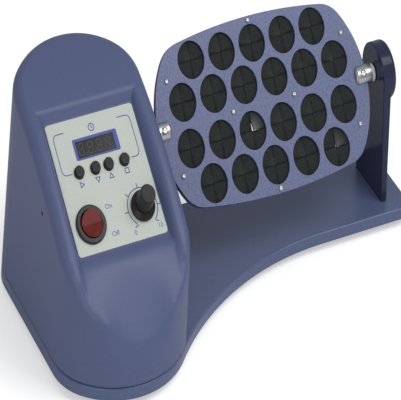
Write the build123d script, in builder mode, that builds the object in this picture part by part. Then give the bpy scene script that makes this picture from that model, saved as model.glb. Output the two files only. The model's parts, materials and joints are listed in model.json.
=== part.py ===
from build123d import *
from math import atan2, cos, degrees, radians, sin, tan
import os

# Tube rotator. Millimetres, +Z up. X runs along the turning axis of the platform,
# the control housing stands at -X, and the user faces the -Y side. The origin is the
# centre of the footprint at the level of the table.

os.makedirs("parts", exist_ok=True)

# ---------------------------------------------------------------- base
foot_height = 6.0
foot_diameter = 16.0
foot_spacing = 64.0
foot_front = 31.5
foot_rear = 25.5
foot_end = 20.0
foot_edge = 16.0
base_thickness = 8.0
base_edge_radius = 1.8
base_top = foot_height + base_thickness
arm_front = -6.0
arm_rear = 70.0
arm_end = 24.0
arm_corner_radius = 9.0
front_sweep_start = 92.0
rear_blend_radius = 14.0

# ---------------------------------------------------------------- turning axis
axis_height = 85.5
axis_y = 30.0
axis_z = base_top + axis_height
shaft_diameter = 6.0
running_clearance = 0.04
bush_diameter = 10.0
bush_flange_diameter = 14.0
bush_flange_thickness = 1.5
bush_projection = 3.1

# ---------------------------------------------------------------- housing
housing_width = 116.5
housing_wall = 3.0
housing_end_depth = 47.5
housing_corner_radius = 40.0
housing_edge_radius = 8.0
housing_rear_height = 142.0
top_radius = 360.0
top_rear_slope = 11.0
top_front_slope = 33.0
nose_radius = 70.0
nose_overhang = 3.0
seam_height = 1.2
seam_depth = 1.4
boss_diameter = 11.0
boss_height = 22.0
boss_inset = 1.0
housing_boss_front = 55.5
housing_boss_rear = 49.5
jack_height = 22.0
jack_diameter = 8.0
jack_nut_diameter = 12.0
jack_nut_height = 2.0
jack_spotface = 0.5
jack_body_length = 14.0
jack_bore_diameter = 5.5
jack_bore_depth = 10.0
jack_pin_diameter = 2.0

# ---------------------------------------------------------------- recess and panel
panel_slope = 30.7
panel_width = 81.5
panel_height = 92.5
panel_thickness = 0.8
panel_corner_radius = 2.5
panel_top_y = 28.5
panel_top_z = 129.8
recess_margin = 1.2
recess_draft = 20.0
recess_ledge_lean = 30.0
recess_foot_radius = 1.5
recess_crest_radius = 6.0
apron_brow_radius = 20.0
lip_slope = 12.0
lip_length = 9.0
apron_slope = 39.0
apron_length = 90.0

# ---------------------------------------------------------------- platform
hole_diameter = 25.5
hole_pitch = 30.0
inner_row_spacing = 30.2
outer_row_spacing = 81.0
platform_tilt = 41.0
platform_half_width = 102.6
platform_half_height = 58.8
platform_long_radius = 500.0
platform_corner_x = 81.0
platform_corner_radius = 24.0
plate_thickness = 1.5
rubber_thickness = 2.0
rubber_inset = 0.6
slit_length = 20.0
slit_width = 0.4
end_screw_y = 55.9
side_screw_x = 86.7
side_screw_y = 30.9
platform_thickness = 2 * plate_thickness + rubber_thickness

# ---------------------------------------------------------------- collars
collar_diameter = 13.5
collar_length = 15.5
collar_nose = 91.5
collar_chamfer = 1.6
collar_slot_gap = 0.05
collar_slot_end = 103.0
collar_screw_x = 98.0
collar_flat = 5.95
washer_diameter = 12.0
washer_thickness = 3.0
washer_gap = 0.4

# ---------------------------------------------------------------- upright
upright_gap = 1.0
upright_foot_thickness = 4.8
upright_head_thickness = 7.2
upright_foot_width = 46.0
upright_head_radius = 20.0
upright_edge_radius = 1.0
head_boss_outer = 13.5
head_boss_round = 3.5
idler_bush_length = 9.0

# ---------------------------------------------------------------- drive
coupling_diameter = 16.0
coupling_length = 20.0
motor_shaft_diameter = 5.0
gearbox_diameter = 32.0
gearbox_length = 22.0
motor_diameter = 28.0
motor_length = 34.0
bracket_thickness = 2.5
bracket_foot = 26.0
bracket_round = 16.5
motor_cap_diameter = 10.0
motor_cap_height = 3.0
motor_shaft_hold = 8.0
motor_screw_circle = 22.0
part_gap = 1.0

shaft_end_gap = 0.5

# ---------------------------------------------------------------- fasteners
base_screw_diameter = 2.4
base_screw_head_diameter = 6.0
base_screw_head_height = 2.2
base_screw_clearance_diameter = 3.4
base_sink_diameter = 6.6
thread_bore_diameter = 2.5
upright_screw_spacing = 28.0
upright_screw_grip = 14.0
housing_screw_end = 4.0
side_screw_diameter = 2.9
side_screw_y_place = -12.8
side_screw_drop = 3.4
foot_peg_diameter = 3.0
foot_peg_height = 4.0
foot_chamfer = 1.2
bracket_screw_diameter = 2.9
bracket_screw_head_diameter = 5.6
bracket_screw_head_height = 2.0
bracket_screw_grip = 4.0
bracket_screw_spacing = 24.0
bracket_screw_setback = 15.0
plate_screw_diameter = 2.0
plate_screw_head_diameter = 3.9
plate_screw_head_height = 1.3
plate_nut_radius = 2.25
plate_nut_height = 1.6
collar_screw_diameter = 2.9
collar_screw_head_diameter = 5.5
collar_screw_head_height = 1.8
screw_clearance = 0.1

# ---------------------------------------------------------------- controls, from the panel's top left
window_size = (35.3, 12.0)
window_place = (40.2, 22.3)
window_ledge = 0.9
button_diameter = 8.6
button_height = 2.6
button_places = {"start": 19.2, "down": 34.2, "up": 46.5, "stop": 61.2}
button_row = 37.4
button_clearance = 0.3
button_seat = 0.2
button_crown_radius = 0.9
button_gap = 0.7
tact_width = 6.0
tact_plunger_diameter = 3.4
tact_plunger_height = 0.4
switch_place = (17.2, 73.5)
switch_bezel_diameter = 26.5
switch_bezel_height = 2.4
switch_body_diameter = 22.6
switch_body_depth = 18.0
switch_well_diameter = 20.0
switch_well_depth = 6.0
switch_bezel_round = 1.2
blade_size = (6.3, 0.8, 8.0)
blade_spacing = 12.0
rocker_diameter = 18.2
rocker_rest_tilt = 7.0
rocker_pivot_depth = 1.0
rocker_pin_diameter = 2.0
rocker_bottom = 2.2
rocker_dip = 5.0
rocker_peak = 6.6
knob_place = (65.5, 71.5)
knob_skirt_diameter = 21.0
knob_skirt_height = 4.0
knob_cap_diameter = 13.2
knob_height = 17.0
knob_taper = 1.0
knob_hollow_diameter = 12.8
knob_hollow_depth = 5.0
knob_flutes = 18
knob_flute_diameter = 1.8
knob_flute_offset = 1.5
knob_gap = 0.4
pot_diameter = 16.5
pot_depth = 9.0
pot_bush_diameter = 8.0
pot_bush_height = 4.5
pot_nut_radius = 5.6
pot_nut_height = 2.0
pot_shaft_top = 13.0
pot_shaft_hold = 4.0
board_size = (58.0, 34.0)
board_place = (40.2, 30.0)
board_thickness = 1.6
board_drop = 4.5
spacer_diameter = 4.0
spacer_inset = 2.5

# ---------------------------------------------------------------- overall
# The housing, the washers, the platform and the upright add up along the turning axis.
overall_depth = 195.0
front_end = -overall_depth / 2
rear_end = overall_depth / 2
housing_rear = rear_end - jack_nut_height + jack_spotface
collar_outer = collar_nose + collar_length
washer_outer = collar_outer + washer_thickness
platform_reach = housing_width + bush_projection + washer_gap + washer_outer
upright_reach = platform_reach + washer_outer + upright_gap
overall_width = upright_reach + arm_end
left_end = -overall_width / 2
right_end = overall_width / 2
housing_x = left_end + housing_width / 2
housing_right = left_end + housing_width
platform_x = left_end + platform_reach
upright_inner = left_end + upright_reach

CENTER_UP = (Align.CENTER, Align.CENTER, Align.MIN)
CENTER_DOWN = (Align.CENTER, Align.CENTER, Align.MAX)


# ---------------------------------------------------------------- planes
def axis_plane(x):
    """Plane square to the turning axis at x, with its normal along +X."""
    return Plane(origin=(x, axis_y, axis_z), x_dir=(0, 1, 0), z_dir=(1, 0, 0))


panel_normal = (0, -sin(radians(panel_slope)), cos(radians(panel_slope)))
panel_centre = (
    housing_x,
    panel_top_y - panel_height / 2 * cos(radians(panel_slope)),
    panel_top_z - panel_height / 2 * sin(radians(panel_slope)),
)
panel_plane = Plane(origin=panel_centre, x_dir=(1, 0, 0), z_dir=panel_normal)


def panel_point(from_left, from_top):
    """Panel coordinates of a place measured from the panel's top left corner."""
    return (from_left - panel_width / 2, panel_height / 2 - from_top)


platform_plane = Plane(
    origin=(platform_x, axis_y, axis_z),
    x_dir=(1, 0, 0),
    z_dir=(0, -cos(radians(platform_tilt)), sin(radians(platform_tilt))),
)
platform_face = platform_thickness / 2
sheet_face = rubber_thickness / 2


# ---------------------------------------------------------------- small pieces used often
def screws(planes, head_diameter, head_height, shank_diameter, length):
    """Cylinder-headed screws with their heads standing on the given planes."""
    for plane in planes:
        with Locations(plane.location):
            Cylinder(head_diameter / 2, head_height, align=CENTER_UP)
            Cylinder(shank_diameter / 2, length, align=CENTER_DOWN)


def base_screws(places, length):
    """Countersunk screws that come up through the base plate from below."""
    for x, y in places:
        with Locations(Plane(origin=(x, y, foot_height), z_dir=(0, 0, -1)).location):
            with Locations((0, 0, -base_screw_head_height / 2)):
                Cone(base_screw_diameter / 2, base_screw_head_diameter / 2, base_screw_head_height)
            Cylinder(base_screw_diameter / 2, length, align=CENTER_DOWN)


def tangent_end(half_width, tangent_y, depth, corner_radius, facing):
    """Rounded end of a tongue: a corner arc, an end arc and a corner arc, all tangent."""
    reach = half_width - corner_radius
    end_radius = (reach**2 + depth**2 - corner_radius**2) / (2 * (depth - corner_radius))
    turn = degrees(atan2(end_radius - depth, reach))
    end_centre = tangent_y + facing * (depth - end_radius)
    CenterArc((reach, tangent_y), corner_radius, 0, facing * turn)
    CenterArc((0, end_centre), end_radius, facing * turn, facing * (180 - 2 * turn))
    CenterArc((-reach, tangent_y), corner_radius, facing * (180 - turn), facing * turn)


def housing_plan(inset):
    """Tongue-shaped plan of the housing, drawn about its own centre line."""
    half = housing_width / 2 - inset
    radius = housing_corner_radius - inset
    depth = housing_end_depth - inset
    rear_tangent = housing_rear - housing_end_depth
    front_tangent = front_end + housing_end_depth
    with BuildSketch() as plan:
        with BuildLine():
            tangent_end(half, rear_tangent, depth, radius, 1)
            tangent_end(half, front_tangent, depth, radius, -1)
            Line((half, front_tangent), (half, rear_tangent))
            Line((-half, front_tangent), (-half, rear_tangent))
        make_face()
    return plan.sketch


def top_profile(drop):
    """Side view of the housing: the crowned top, the straight slope and the nose."""
    def outward(slope):
        return Vector(-sin(radians(slope)), cos(radians(slope)))

    radius = top_radius - drop
    rear = Vector(housing_rear, base_top + housing_rear_height)
    crown_centre = rear - outward(top_rear_slope) * top_radius
    far_slope = top_rear_slope - 4
    far_rear = crown_centre + outward(far_slope) * radius
    crown_middle = crown_centre + outward((far_slope + top_front_slope) / 2) * radius
    shoulder = crown_centre + outward(top_front_slope) * radius
    along = Vector(cos(radians(top_front_slope)), sin(radians(top_front_slope)))
    nose = nose_radius - drop
    nose_end_y = front_end - nose_overhang + drop
    nose_start_y = nose_end_y + nose * (1 - sin(radians(top_front_slope)))
    nose_start = shoulder - along * ((shoulder.X - nose_start_y) / along.X)
    nose_centre = nose_start - outward(top_front_slope) * nose
    nose_middle = nose_centre + outward((top_front_slope + 90) / 2) * nose
    nose_end = nose_centre + outward(90) * nose
    floor_z = base_top - 1
    with BuildSketch() as profile:
        with BuildLine():
            ThreePointArc(far_rear, crown_middle, shoulder)
            Line(shoulder, nose_start)
            ThreePointArc(nose_start, nose_middle, nose_end)
            Polyline(nose_end, (nose_end.X, floor_z), (far_rear.X, floor_z), far_rear)
        make_face()
    return profile.sketch


def housing_form(inset):
    """Tongue-shaped block under the crowned top, with its upper rim rounded."""
    with BuildPart(mode=Mode.PRIVATE) as form:
        with BuildSketch(plan_plane):
            add(housing_plan(inset))
        extrude(amount=housing_rear_height + top_allowance)
        with BuildSketch(side_plane):
            add(top_profile(inset))
        extrude(amount=housing_width, both=True, mode=Mode.INTERSECT)
        rim = form.edges().filter_by(lambda edge: edge.center().Z > base_top + seam_height + 14)
        rim = rim.filter_by(lambda edge: abs(edge.tangent_at(0.5).Z) < 0.95)
        fillet(rim, radius=housing_edge_radius - inset)
    return form.part


top_allowance = 20.0
side_plane = Plane(origin=(housing_x, 0, 0), x_dir=(0, 1, 0), z_dir=(1, 0, 0))
plan_plane = Plane(origin=(housing_x, 0, base_top))

# The recess floor in side view: ledge, panel seat, lip under the panel, and apron.
up_slope = Vector(cos(radians(panel_slope)), sin(radians(panel_slope)))
seat_top = Vector(panel_top_y, panel_top_z) + up_slope * recess_margin
seat_bottom = seat_top - up_slope * (panel_height + 2 * recess_margin)
lip_end = seat_bottom - Vector(cos(radians(lip_slope)), sin(radians(lip_slope))) * lip_length
apron_end = lip_end - Vector(cos(radians(apron_slope)), sin(radians(apron_slope))) * apron_length
recess_ceiling = 60.0


def recess_profile(lower):
    """Side view of the space above the recess floor, lowered by the given amount."""
    shift = Vector(0, -lower / cos(radians(panel_slope)))
    ledge_foot = seat_top + up_slope * lower + shift
    lean = recess_ceiling * tan(radians(recess_ledge_lean))
    with BuildSketch() as profile:
        with BuildLine():
            Polyline(
                ledge_foot,
                seat_bottom + shift,
                lip_end + shift,
                apron_end + shift,
                (apron_end.X, seat_top.Y + recess_ceiling),
                ledge_foot + Vector(lean, recess_ceiling - shift.Y),
                ledge_foot,
            )
        make_face()
    return profile.sketch


def recess(lower):
    """The scooped space over the panel; its sides lean outwards."""
    width = panel_width + 2 * recess_margin + 2 * lower
    with BuildPart(mode=Mode.PRIVATE) as space:
        with BuildSketch(side_plane):
            add(recess_profile(lower))
        extrude(amount=housing_width, both=True)
        with BuildSketch(panel_plane.offset(-recess_ceiling)):
            Rectangle(width - 2 * recess_ceiling * tan(radians(recess_draft)), 4 * panel_height)
        extrude(amount=2 * recess_ceiling, taper=-recess_draft, mode=Mode.INTERSECT)
    return space.part


def softened_recess():
    """The recess with its brow rounded and its foot filleted inside the panel's margin."""
    lip_turn = radians(panel_slope - lip_slope)
    valley_radius = 0.9 * recess_margin / tan(lip_turn / 2)
    with BuildPart(mode=Mode.PRIVATE) as space:
        add(recess(0))
        floor_edges = space.edges().filter_by(
            lambda edge: (edge.center() - Vector(*panel_centre)).dot(Vector(*panel_normal)) < 14
        )
        across = floor_edges.filter_by(Axis.X)
        fillet(across.sort_by(lambda edge: abs(edge.center().Y - lip_end.X))[0], apron_brow_radius)
        across = space.edges().filter_by(Axis.X)
        fillet(across.sort_by(lambda edge: abs(edge.center().Y - seat_bottom.X))[0], valley_radius)
        foot = space.edges().filter_by(
            lambda edge: (edge.center() - Vector(*panel_centre)).dot(Vector(*panel_normal)) < 14
            and (abs(edge.tangent_at(0.5).X) < 0.9 or edge.center().Y > panel_top_y - 1)
        )
        fillet(foot, recess_foot_radius)
    return space.part


def crest_edges(part, form, space):
    """Edges of the part where the recess cuts the outer form."""
    def on_both(edge):
        places = [Vertex(*(edge @ step)) for step in (0.2, 0.5, 0.8)]
        return all(
            form.shell().distance_to(place) < 0.01 and space.shell().distance_to(place) < 0.01
            for place in places
        )
    return part.edges().filter_by(on_both)


# ---------------------------------------------------------------- base plate
# The front edge of the arm sweeps into the housing's nose, tangent to both.
nose_corner = Vector(housing_right - housing_corner_radius, front_end + housing_end_depth)
sweep_run = front_sweep_start - nose_corner.X
sweep_rise = arm_front - nose_corner.Y
sweep_radius = (sweep_run**2 + sweep_rise**2 - housing_corner_radius**2) / (
    2 * (housing_corner_radius + sweep_rise)
)
sweep_centre = Vector(front_sweep_start, arm_front - sweep_radius)
sweep_end = nose_corner + (sweep_centre - nose_corner).normalized() * housing_corner_radius
sweep_middle_way = (Vector(0, 1) + (sweep_end - sweep_centre).normalized()).normalized()
sweep_middle = sweep_centre + sweep_middle_way * sweep_radius
housing_boss_places = [
    (housing_x + side * (housing_width / 2 - housing_wall - boss_diameter / 2 + boss_inset), y)
    for side in (-1, 1)
    for y in (front_end + housing_boss_front, rear_end - housing_boss_rear)
]
foot_places = [
    (housing_x + side * foot_spacing / 2, y)
    for side in (-1, 1)
    for y in (front_end + foot_front, rear_end - foot_rear)
]
foot_places += [(right_end - foot_end, y) for y in (arm_front + foot_edge, arm_rear - foot_edge)]
upright_screw_places = [
    (upright_inner + upright_foot_thickness / 2, axis_y + side * upright_screw_spacing / 2)
    for side in (-1, 1)
]
bracket_x = housing_right - housing_wall - bush_flange_thickness - coupling_length - 2 * part_gap
bracket_screw_places = [
    (bracket_x - bracket_thickness - bracket_screw_setback, axis_y + side * bracket_screw_spacing / 2)
    for side in (-1, 1)
]

with BuildPart() as base_plate:
    with BuildSketch(Plane.XY.offset(foot_height)) as base_plate_plan:
        with Locations((housing_x, 0)):
            add(housing_plan(0))
        with BuildLine():
            Line((right_end, arm_front), (front_sweep_start, arm_front))
            ThreePointArc((front_sweep_start, arm_front), sweep_middle, sweep_end)
            Polyline(
                sweep_end,
                nose_corner,
                (nose_corner.X, arm_rear),
                (right_end, arm_rear),
                (right_end, arm_front),
            )
        make_face()
        rear_joint = base_plate_plan.vertices().filter_by(
            lambda corner: abs(corner.Y - arm_rear) < 0.01 and corner.X < 0
        )
        fillet(rear_joint, radius=rear_blend_radius)
    extrude(amount=base_thickness)
    arm_corners = base_plate.edges().filter_by(Axis.Z).group_by(Axis.X)[-1]
    fillet(arm_corners, radius=arm_corner_radius)
    fillet(base_plate.faces().sort_by(Axis.Z)[-1].outer_wire().edges(), radius=base_edge_radius)
    with Locations(*[Plane(origin=(x, y, foot_height), z_dir=(0, 0, -1)).location
                     for x, y in housing_boss_places + upright_screw_places]):
        CounterSinkHole(base_screw_clearance_diameter / 2, base_sink_diameter / 2, base_thickness)
    with Locations(*[(x, y, foot_height) for x, y in foot_places]):
        Hole(foot_peg_diameter / 2 + screw_clearance, foot_peg_height + 2 * screw_clearance)
    with Locations(*[(x, y, base_top) for x, y in bracket_screw_places]):
        Hole(bracket_screw_diameter / 2 + screw_clearance, bracket_screw_grip + 1)

base_plate.part.label = "base_plate"
export_step(base_plate.part, "parts/base_plate.step")

# ---------------------------------------------------------------- control housing
jack_plane = Plane(
    origin=(housing_x, housing_rear, base_top + jack_height), x_dir=(1, 0, 0), z_dir=(0, 1, 0)
)
side_screw_plane = Plane(
    origin=(left_end, side_screw_y_place, axis_z - side_screw_drop), x_dir=(0, 1, 0), z_dir=(-1, 0, 0)
)
wall_inner_x = housing_right - housing_wall

outer_form = housing_form(0)
recess_space = softened_recess()
with BuildPart() as control_housing:
    add(outer_form)
    add(recess_space, mode=Mode.SUBTRACT)
    fillet(crest_edges(control_housing, outer_form, recess_space), radius=recess_crest_radius)

    with BuildPart(mode=Mode.PRIVATE) as cavity:
        add(housing_form(housing_wall))
        add(recess(housing_wall), mode=Mode.SUBTRACT)
        with BuildSketch(plan_plane):
            for x, y in housing_boss_places:
                with Locations((x - housing_x, y)):
                    Circle(boss_diameter / 2)
        extrude(amount=boss_height, mode=Mode.SUBTRACT)
    add(cavity.part, mode=Mode.SUBTRACT)

    with BuildSketch(plan_plane):
        add(housing_plan(-1))
        add(housing_plan(seam_depth), mode=Mode.SUBTRACT)
    extrude(amount=seam_height, mode=Mode.SUBTRACT)
    with Locations(*[(x, y, base_top) for x, y in housing_boss_places]):
        Cylinder(
            thread_bore_diameter / 2,
            boss_height - housing_screw_end,
            align=CENTER_UP,
            mode=Mode.SUBTRACT,
        )

    with BuildSketch(panel_plane.offset(1)):
        with Locations(*[panel_point(place, button_row) for place in button_places.values()]):
            Circle(button_diameter / 2 + button_clearance)
        with Locations(panel_point(*window_place)):
            Rectangle(window_size[0] - 2 * window_ledge, window_size[1] - 2 * window_ledge)
        with Locations(panel_point(*switch_place)):
            Circle(switch_body_diameter / 2 + screw_clearance)
        with Locations(panel_point(*knob_place)):
            Circle(pot_bush_diameter / 2 + screw_clearance)
    extrude(amount=-2 - housing_wall, mode=Mode.SUBTRACT)

    with Locations(axis_plane(housing_right).location):
        Cylinder(bush_diameter / 2, 2 * housing_wall, mode=Mode.SUBTRACT)
    with Locations(jack_plane.location):
        Cylinder(jack_diameter / 2 + screw_clearance, 4 * housing_wall, mode=Mode.SUBTRACT)
        with Locations((0, 0, -jack_spotface)):
            Cylinder(jack_nut_diameter / 2 + jack_spotface, housing_wall, align=CENTER_UP, mode=Mode.SUBTRACT)
    with Locations(side_screw_plane.location):
        Cylinder(side_screw_diameter / 2 + screw_clearance / 2, 2 * housing_wall, mode=Mode.SUBTRACT)
control_housing.part.label = "control_housing"
export_step(control_housing.part, "parts/control_housing.step")

with BuildPart() as housing_screws:
    base_screws(housing_boss_places, base_thickness + boss_height - 2 * housing_screw_end)
housing_screws.part.label = "housing_screws"
export_step(housing_screws.part, "parts/housing_screws.step")

with BuildPart() as housing_side_screw:
    with Locations(side_screw_plane.location):
        Cylinder(side_screw_diameter / 2, housing_wall + 2, align=CENTER_DOWN)
housing_side_screw.part.label = "housing_side_screw"
export_step(housing_side_screw.part, "parts/housing_side_screw.step")

with BuildPart() as rubber_feet:
    with Locations(*[(x, y, 0) for x, y in foot_places]):
        Cylinder(foot_diameter / 2, foot_height, align=CENTER_UP)
        Cylinder(foot_peg_diameter / 2, foot_height + foot_peg_height, align=CENTER_UP)
    chamfer(rubber_feet.edges().group_by(Axis.Z)[0], length=foot_chamfer)
rubber_feet.part.label = "rubber_feet"
export_step(rubber_feet.part, "parts/rubber_feet.step")

# ---------------------------------------------------------------- front panel
with BuildPart() as control_panel:
    with BuildSketch(panel_plane):
        RectangleRounded(panel_width, panel_height, panel_corner_radius)
        with Locations(*[panel_point(place, button_row) for place in button_places.values()]):
            Circle(button_diameter / 2 + button_clearance, mode=Mode.SUBTRACT)
        with Locations(panel_point(*window_place)):
            Rectangle(*window_size, mode=Mode.SUBTRACT)
        with Locations(panel_point(*switch_place)):
            Circle(switch_body_diameter / 2 + screw_clearance, mode=Mode.SUBTRACT)
        with Locations(panel_point(*knob_place)):
            Circle(pot_bush_diameter / 2 + screw_clearance, mode=Mode.SUBTRACT)
    extrude(amount=panel_thickness)
control_panel.part.label = "control_panel"
export_step(control_panel.part, "parts/control_panel.step")

with BuildPart() as display_window:
    with BuildSketch(panel_plane):
        with Locations(panel_point(*window_place)):
            Rectangle(window_size[0] - screw_clearance, window_size[1] - screw_clearance)
    extrude(amount=panel_thickness)
display_window.part.label = "display_window"
export_step(display_window.part, "parts/display_window.step")

with BuildPart() as display_module:
    with BuildSketch(panel_plane.offset(-board_drop)):
        with Locations(panel_point(*window_place)):
            Rectangle(window_size[0] - 3 * window_ledge, window_size[1] - 3 * window_ledge)
    extrude(amount=board_drop - button_seat)
display_module.part.label = "display_module"
export_step(display_module.part, "parts/display_module.step")

with BuildPart() as circuit_board:
    with BuildSketch(panel_plane.offset(-board_drop)):
        with Locations(panel_point(*board_place)):
            Rectangle(*board_size)
    extrude(amount=-board_thickness)
circuit_board.part.label = "circuit_board"
export_step(circuit_board.part, "parts/circuit_board.step")

with BuildPart() as board_spacers:
    with BuildSketch(panel_plane.offset(-board_drop)):
        with Locations(panel_point(*board_place)):
            with GridLocations(board_size[0] - 2 * spacer_inset, board_size[1] - 2 * spacer_inset, 2, 2):
                Circle(spacer_diameter / 2)
    extrude(amount=board_drop - housing_wall)
board_spacers.part.label = "board_spacers"
export_step(board_spacers.part, "parts/board_spacers.step")

with BuildPart() as button_switches:
    tact_height = board_drop - tact_plunger_height - button_gap
    for place in button_places.values():
        with BuildSketch(panel_plane.offset(-board_drop)):
            with Locations(panel_point(place, button_row)):
                Rectangle(tact_width, tact_width)
        extrude(amount=tact_height)
        with BuildSketch(panel_plane.offset(-board_drop + tact_height)):
            with Locations(panel_point(place, button_row)):
                Circle(tact_plunger_diameter / 2)
        extrude(amount=tact_plunger_height)
button_switches.part.label = "button_switches"
export_step(button_switches.part, "parts/button_switches.step")

for name, place in button_places.items():
    with BuildPart() as button:
        with BuildSketch(panel_plane.offset(button_seat)):
            with Locations(panel_point(place, button_row)):
                Circle(button_diameter / 2)
        extrude(amount=panel_thickness + button_height - button_seat)
        crown = button.faces().sort_by(lambda face: face.center().dot(Vector(panel_normal)))[-1]
        fillet(crown.edges(), radius=button_crown_radius)
    button.part.label = name + "_button"
    export_step(button.part, "parts/" + name + "_button.step")

# ---------------------------------------------------------------- power switch
switch_plane = Plane(panel_plane.location * Location((*panel_point(*switch_place), 0)))
with BuildPart() as switch_body:
    with BuildSketch(switch_plane.offset(panel_thickness)):
        Circle(switch_bezel_diameter / 2)
    extrude(amount=switch_bezel_height)
    bezel = switch_body.faces().sort_by(lambda face: face.center().dot(Vector(panel_normal)))[-1]
    fillet(bezel.edges(), radius=switch_bezel_round)
    with Locations(switch_plane.offset(panel_thickness).location):
        Cylinder(switch_body_diameter / 2, panel_thickness + switch_body_depth, align=CENTER_DOWN)
    with Locations(switch_plane.offset(-switch_well_depth).location):
        Cylinder(switch_well_diameter / 2, switch_body_depth, align=CENTER_UP, mode=Mode.SUBTRACT)
    with Locations(switch_plane.offset(-rocker_pivot_depth).location):
        Cylinder(rocker_pin_diameter / 2, switch_body_diameter, rotation=(0, 90, 0), mode=Mode.SUBTRACT)
    for side in (-1, 1):
        blade = switch_plane.offset(-switch_body_depth).location * Location((0, side * blade_spacing / 2, 0))
        with Locations(blade):
            Box(*blade_size, align=CENTER_DOWN)
switch_body.part.label = "switch_body"
export_step(switch_body.part, "parts/switch_body.step")

with BuildPart() as rocker_pin:
    with Locations(switch_plane.offset(-rocker_pivot_depth).location):
        Cylinder(rocker_pin_diameter / 2, switch_body_diameter - 1, rotation=(0, 90, 0))
rocker_pin.part.label = "rocker_pin"
export_step(rocker_pin.part, "parts/rocker_pin.step")

rocker_plane = Plane(
    switch_plane.offset(-rocker_pivot_depth).location * Location((0, 0, 0), (rocker_rest_tilt, 0, 0))
)
with BuildPart() as power_rocker:
    with BuildSketch(Plane(rocker_plane.location * Location((0, 0, 0), (90, 90, 0)))):
        with BuildLine():
            Polyline(
                (-rocker_diameter / 2, -rocker_bottom),
                (-rocker_diameter / 2, rocker_peak),
                (0, rocker_dip),
                (rocker_diameter / 2, rocker_peak),
                (rocker_diameter / 2, -rocker_bottom),
                (-rocker_diameter / 2, -rocker_bottom),
            )
        make_face()
    extrude(amount=rocker_diameter, both=True)
    with BuildSketch(rocker_plane.offset(-rocker_bottom)):
        Circle(rocker_diameter / 2)
    extrude(amount=rocker_bottom + rocker_peak, mode=Mode.INTERSECT)
    with Locations(rocker_plane.location):
        Cylinder(
            rocker_pin_diameter / 2 + running_clearance,
            rocker_diameter + 2,
            rotation=(0, 90, 0),
            mode=Mode.SUBTRACT,
        )
power_rocker.part.label = "power_rocker"
export_step(power_rocker.part, "parts/power_rocker.step")

# ---------------------------------------------------------------- speed control
knob_plane = Plane(panel_plane.location * Location((*panel_point(*knob_place), 0)))
with BuildPart() as potentiometer:
    with Locations(knob_plane.offset(-housing_wall).location):
        Cylinder(pot_diameter / 2, pot_depth, align=CENTER_DOWN)
        Cylinder(pot_bush_diameter / 2, housing_wall + pot_bush_height, align=CENTER_UP)
        Cylinder(
            shaft_diameter / 2 + running_clearance,
            2 * (housing_wall + pot_bush_height),
            mode=Mode.SUBTRACT,
        )
potentiometer.part.label = "potentiometer"
export_step(potentiometer.part, "parts/potentiometer.step")

with BuildPart() as pot_nut:
    with BuildSketch(knob_plane.offset(panel_thickness)):
        RegularPolygon(pot_nut_radius, 6)
        Circle(pot_bush_diameter / 2, mode=Mode.SUBTRACT)
    extrude(amount=pot_nut_height)
pot_nut.part.label = "pot_nut"
export_step(pot_nut.part, "parts/pot_nut.step")

with BuildPart() as pot_shaft:
    with Locations(knob_plane.offset(-housing_wall - pot_shaft_hold).location):
        Cylinder(shaft_diameter / 2, housing_wall + pot_shaft_hold + pot_shaft_top, align=CENTER_UP)
pot_shaft.part.label = "pot_shaft"
export_step(pot_shaft.part, "parts/pot_shaft.step")

knob_base = panel_thickness + knob_gap
with BuildPart() as speed_knob:
    with BuildSketch(Plane.XZ):
        with BuildLine():
            Polyline(
                (0, knob_base),
                (knob_skirt_diameter / 2, knob_base),
                (knob_skirt_diameter / 2, knob_base + knob_skirt_height / 2),
                (knob_cap_diameter / 2 + knob_taper, knob_base + knob_skirt_height),
                (knob_cap_diameter / 2, knob_base + knob_height),
                (0, knob_base + knob_height),
                (0, knob_base),
            )
        make_face()
    revolve(axis=Axis.Z)
    fillet(speed_knob.edges().group_by(Axis.Z)[-1], radius=knob_taper)
    with Locations((0, 0, knob_base)):
        Cylinder(knob_hollow_diameter / 2, knob_hollow_depth, align=CENTER_UP, mode=Mode.SUBTRACT)
    Cylinder(shaft_diameter / 2, pot_shaft_top, align=CENTER_UP, mode=Mode.SUBTRACT)
    with PolarLocations(knob_cap_diameter / 2 + knob_flute_offset, knob_flutes):
        with Locations((0, 0, knob_base + knob_skirt_height)):
            Cylinder(knob_flute_diameter / 2, knob_height, align=CENTER_UP, mode=Mode.SUBTRACT)
speed_knob_solid = speed_knob.part.moved(knob_plane.location)
speed_knob_solid.label = "speed_knob"
export_step(speed_knob_solid, "parts/speed_knob.step")

# ---------------------------------------------------------------- power inlet
with BuildPart() as power_inlet:
    with Locations(jack_plane.offset(-jack_spotface).location):
        Cylinder(jack_nut_diameter / 2, jack_nut_height, align=CENTER_UP)
        Cylinder(jack_diameter / 2, jack_body_length, align=CENTER_DOWN)
        with Locations((0, 0, jack_nut_height)):
            Cylinder(jack_bore_diameter / 2, jack_bore_depth, align=CENTER_DOWN, mode=Mode.SUBTRACT)
            Cylinder(jack_pin_diameter / 2, jack_bore_depth, align=CENTER_DOWN)
power_inlet.part.label = "power_inlet"
export_step(power_inlet.part, "parts/power_inlet.step")

# ---------------------------------------------------------------- drive
left_bush_end = platform_x - washer_outer - washer_gap
bush_length = left_bush_end - wall_inner_x + bush_flange_thickness
with BuildPart() as drive_bush:
    with Locations(axis_plane(left_bush_end).location):
        Cylinder(bush_diameter / 2, bush_length, align=CENTER_DOWN)
    with Locations(axis_plane(wall_inner_x).location):
        Cylinder(bush_flange_diameter / 2, bush_flange_thickness, align=CENTER_DOWN)
    with Locations(axis_plane(wall_inner_x).location):
        Cylinder(shaft_diameter / 2 + running_clearance, 4 * bush_length, mode=Mode.SUBTRACT)
drive_bush.part.label = "drive_bush"
export_step(drive_bush.part, "parts/drive_bush.step")

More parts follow.
